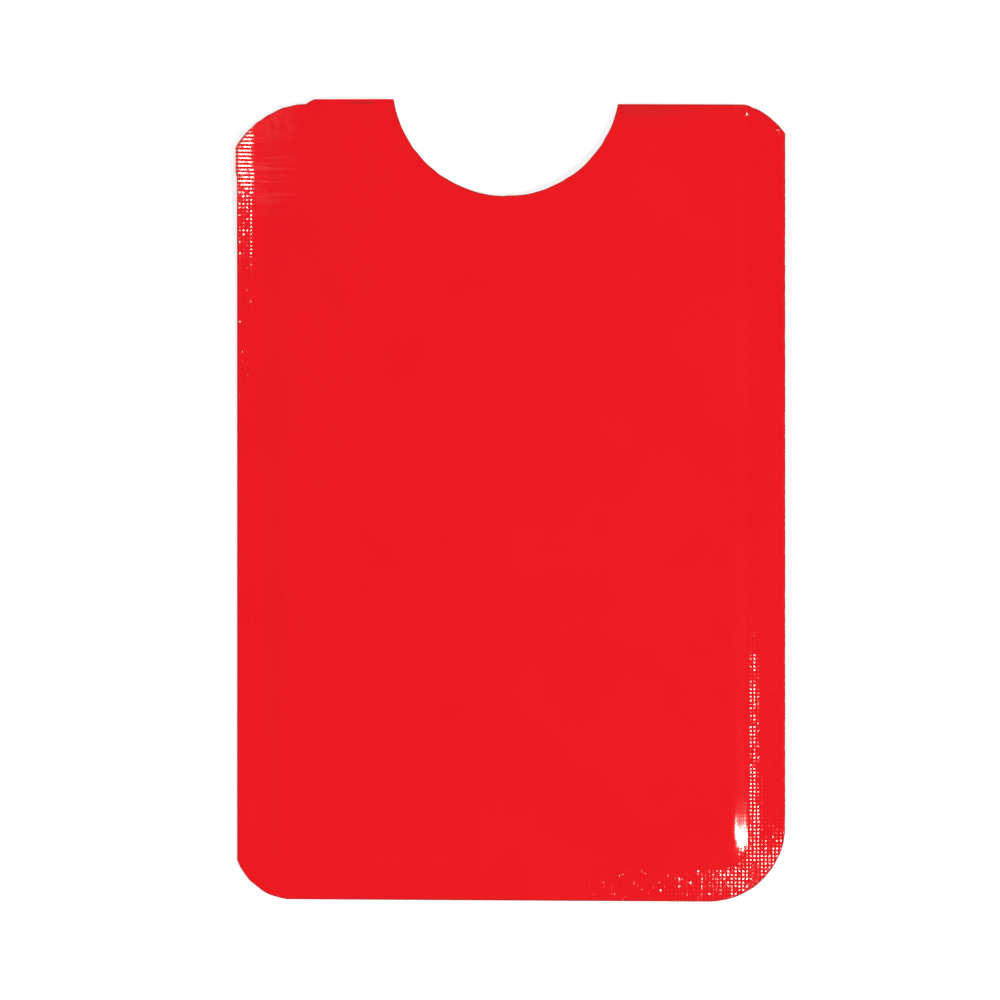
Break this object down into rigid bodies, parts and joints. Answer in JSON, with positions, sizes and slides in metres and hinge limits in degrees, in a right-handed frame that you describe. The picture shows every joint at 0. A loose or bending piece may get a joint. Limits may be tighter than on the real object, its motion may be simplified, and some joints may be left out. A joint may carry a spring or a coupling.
{
  "type": "rfid card sleeve",
  "caption": "Flat open-topped foil laminate sleeve for one bank card, heat-sealed on three sides, with a round thumb notch at the mouth.",
  "frame": {"origin": "under the middle of the sleeve's box, in the plane of its back", "axes": "+Z out of the front wall, +Y towards the mouth and thumb notch, +X to the right seen from the front"},
  "size_m": [0.0622, 0.091, 0.0015],
  "materials": {
    "red_film": "glossy red coated film, crimped with a fine mesh at the seals",
    "foil": "bright rolled foil",
    "liner": "satin milky polyethylene",
    "seal": "fused milky polyethylene"
  },
  "bodies": {
    "root": {"front_cover_film": "red_film", "front_foil": "foil", "front_liner": "liner", "back_cover_film": "red_film", "back_foil": "foil", "back_liner": "liner", "left_seal": "seal", "right_seal": "seal", "bottom_seal": "seal"}
  },
  "joints": []
}
